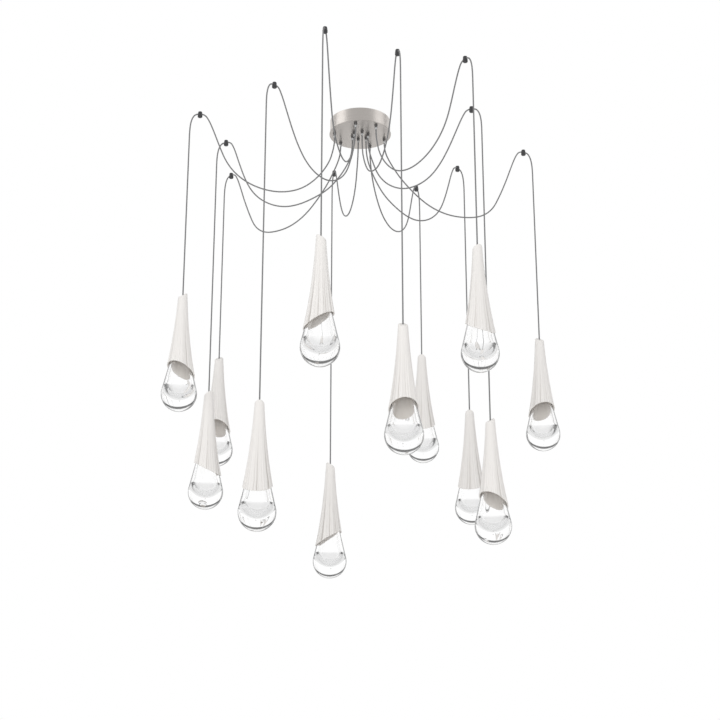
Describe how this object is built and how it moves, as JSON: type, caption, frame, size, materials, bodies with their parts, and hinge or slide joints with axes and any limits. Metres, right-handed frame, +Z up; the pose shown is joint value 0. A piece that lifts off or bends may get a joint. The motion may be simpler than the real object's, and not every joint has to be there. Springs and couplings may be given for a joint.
{
  "type": "swag chandelier",
  "caption": "Swag chandelier: a round canopy feeds cords that loop over ceiling clips and carry clear glass drops in ribbed white shades cut at a slant.",
  "frame": {"origin": "middle of the canopy on the ceiling, between the two box screws", "axes": "+Z up into the ceiling, +X along the mounting bar, the picture is taken from -Y"},
  "size_m": [1.1258, 1.1169, 1.297],
  "materials": {
    "satin_nickel": "satin nickel",
    "zinc_steel": "zinc plated",
    "driver_case": "moulded, matt",
    "charcoal_metal": "charcoal, matt",
    "clear_tip": "clear",
    "grey_cord": "braided",
    "white_ceramic": "matt, ribbed",
    "clear_glass": "clear, thick base",
    "lamp_metal": "turned"
  },
  "bodies": {
    "canopy": {"canopy_band": "satin_nickel", "face_plate": "satin_nickel", "face_nuts": "zinc_steel", "mounting_bar": "zinc_steel", "side_screws": "zinc_steel", "led_driver": "driver_case", "cord_grips": "charcoal_metal", "grip_nuts": "zinc_steel", "grip_tips": "clear_tip", "hook_bases": "charcoal_metal", "hook_caps": "charcoal_metal", "swag_cords": "grey_cord"},
    "drop_01": {"drop_cord_01": "grey_cord"},
    "pendant_01": {"shade_01": "white_ceramic", "glass_01": "clear_glass", "lamp_unit_01": "lamp_metal"},
    "drop_02": {"drop_cord_02": "grey_cord"},
    "pendant_02": {"shade_02": "white_ceramic", "glass_02": "clear_glass", "lamp_unit_02": "lamp_metal"},
    "drop_03": {"drop_cord_03": "grey_cord"},
    "pendant_03": {"shade_03": "white_ceramic", "glass_03": "clear_glass", "lamp_unit_03": "lamp_metal"},
    "drop_04": {"drop_cord_04": "grey_cord"},
    "pendant_04": {"shade_04": "white_ceramic", "glass_04": "clear_glass", "lamp_unit_04": "lamp_metal"},
    "drop_05": {"drop_cord_05": "grey_cord"},
    "pendant_05": {"shade_05": "white_ceramic", "glass_05": "clear_glass", "lamp_unit_05": "lamp_metal"},
    "drop_06": {"drop_cord_06": "grey_cord"},
    "pendant_06": {"shade_06": "white_ceramic", "glass_06": "clear_glass", "lamp_unit_06": "lamp_metal"},
    "drop_07": {"drop_cord_07": "grey_cord"},
    "pendant_07": {"shade_07": "white_ceramic", "glass_07": "clear_glass", "lamp_unit_07": "lamp_metal"},
    "drop_08": {"drop_cord_08": "grey_cord"},
    "pendant_08": {"shade_08": "white_ceramic", "glass_08": "clear_glass", "lamp_unit_08": "lamp_metal"},
    "drop_09": {"drop_cord_09": "grey_cord"},
    "pendant_09": {"shade_09": "white_ceramic", "glass_09": "clear_glass", "lamp_unit_09": "lamp_metal"},
    "drop_10": {"drop_cord_10": "grey_cord"},
    "pendant_10": {"shade_10": "white_ceramic", "glass_10": "clear_glass", "lamp_unit_10": "lamp_metal"},
    "drop_11": {"drop_cord_11": "grey_cord"},
    "pendant_11": {"shade_11": "white_ceramic", "glass_11": "clear_glass", "lamp_unit_11": "lamp_metal"},
    "drop_12": {"drop_cord_12": "grey_cord"},
    "pendant_12": {"shade_12": "white_ceramic", "glass_12": "clear_glass", "lamp_unit_12": "lamp_metal"}
  },
  "joints": [
    {"name": "swing_01", "type": "hinge", "parent": "canopy", "child": "drop_01", "pos_m": [0.19272, 0.46299, -0.09], "axis": [0.9232, -0.3843, 0], "range_deg": [-8, 8]},
    {"name": "twist_01", "type": "hinge", "parent": "drop_01", "child": "pendant_01", "pos_m": [0.19272, 0.46299, -0.09], "axis": [0, 0, 1], "range_deg": [-180, 180]},
    {"name": "swing_02", "type": "hinge", "parent": "canopy", "child": "drop_02", "pos_m": [-0.49732, -0.06459, -0.09], "axis": [-0.1288, 0.9917, 0], "range_deg": [-8, 8]},
    {"name": "twist_02", "type": "hinge", "parent": "drop_02", "child": "pendant_02", "pos_m": [-0.49732, -0.06459, -0.09], "axis": [0, 0, 1], "range_deg": [-180, 180]},
    {"name": "swing_03", "type": "hinge", "parent": "canopy", "child": "drop_03", "pos_m": [0.3046, -0.3984, -0.09], "axis": [-0.7944, -0.6074, 0], "range_deg": [-8, 8]},
    {"name": "twist_03", "type": "hinge", "parent": "drop_03", "child": "pendant_03", "pos_m": [0.3046, -0.3984, -0.09], "axis": [0, 0, 1], "range_deg": [-180, 180]},
    {"name": "swing_04", "type": "hinge", "parent": "canopy", "child": "drop_04", "pos_m": [0.52952, 0.19273, -0.09], "axis": [0.342, -0.9397, 0], "range_deg": [-8, 8]},
    {"name": "twist_04", "type": "hinge", "parent": "drop_04", "child": "pendant_04", "pos_m": [0.52952, 0.19273, -0.09], "axis": [0, 0, 1], "range_deg": [-180, 180]},
    {"name": "swing_05", "type": "hinge", "parent": "canopy", "child": "drop_05", "pos_m": [-0.43167, 0.36221, -0.09], "axis": [0.6428, 0.766, 0], "range_deg": [-8, 8]},
    {"name": "twist_05", "type": "hinge", "parent": "drop_05", "child": "pendant_05", "pos_m": [-0.43167, 0.36221, -0.09], "axis": [0, 0, 1], "range_deg": [-180, 180]},
    {"name": "swing_06", "type": "hinge", "parent": "canopy", "child": "drop_06", "pos_m": [-0.09785, -0.55494, -0.09], "axis": [-0.9848, 0.1736, 0], "range_deg": [-8, 8]},
    {"name": "twist_06", "type": "hinge", "parent": "drop_06", "child": "pendant_06", "pos_m": [-0.09785, -0.55494, -0.09], "axis": [0, 0, 1], "range_deg": [-180, 180]},
    {"name": "swing_07", "type": "hinge", "parent": "canopy", "child": "drop_07", "pos_m": [0.32696, 0.31354, -0.09], "axis": [0.6921, -0.7218, 0], "range_deg": [-8, 8]},
    {"name": "twist_07", "type": "hinge", "parent": "drop_07", "child": "pendant_07", "pos_m": [0.32696, 0.31354, -0.09], "axis": [0, 0, 1], "range_deg": [-180, 180]},
    {"name": "swing_08", "type": "hinge", "parent": "canopy", "child": "drop_08", "pos_m": [-0.43501, 0.12638, -0.09], "axis": [0.279, 0.9603, 0], "range_deg": [-8, 8]},
    {"name": "twist_08", "type": "hinge", "parent": "drop_08", "child": "pendant_08", "pos_m": [-0.43501, 0.12638, -0.09], "axis": [0, 0, 1], "range_deg": [-180, 180]},
    {"name": "swing_09", "type": "hinge", "parent": "canopy", "child": "drop_09", "pos_m": [0.10806, -0.43992, -0.09], "axis": [-0.9711, -0.2385, 0], "range_deg": [-8, 8]},
    {"name": "twist_09", "type": "hinge", "parent": "drop_09", "child": "pendant_09", "pos_m": [0.10806, -0.43992, -0.09], "axis": [0, 0, 1], "range_deg": [-180, 180]},
    {"name": "swing_10", "type": "hinge", "parent": "canopy", "child": "drop_10", "pos_m": [-0.08904, 0.35449, -0.09], "axis": [0.9699, 0.2436, 0], "range_deg": [-8, 8]},
    {"name": "twist_10", "type": "hinge", "parent": "drop_10", "child": "pendant_10", "pos_m": [-0.08904, 0.35449, -0.09], "axis": [0, 0, 1], "range_deg": [-180, 180]},
    {"name": "swing_11", "type": "hinge", "parent": "canopy", "child": "drop_11", "pos_m": [-0.26248, -0.25436, -0.09], "axis": [-0.6959, 0.7181, 0], "range_deg": [-8, 8]},
    {"name": "twist_11", "type": "hinge", "parent": "drop_11", "child": "pendant_11", "pos_m": [-0.26248, -0.25436, -0.09], "axis": [0, 0, 1], "range_deg": [-180, 180]},
    {"name": "swing_12", "type": "hinge", "parent": "canopy", "child": "drop_12", "pos_m": [0.35152, -0.10013, -0.09], "axis": [-0.274, -0.9617, 0], "range_deg": [-8, 8]},
    {"name": "twist_12", "type": "hinge", "parent": "drop_12", "child": "pendant_12", "pos_m": [0.35152, -0.10013, -0.09], "axis": [0, 0, 1], "range_deg": [-180, 180]}
  ]
}
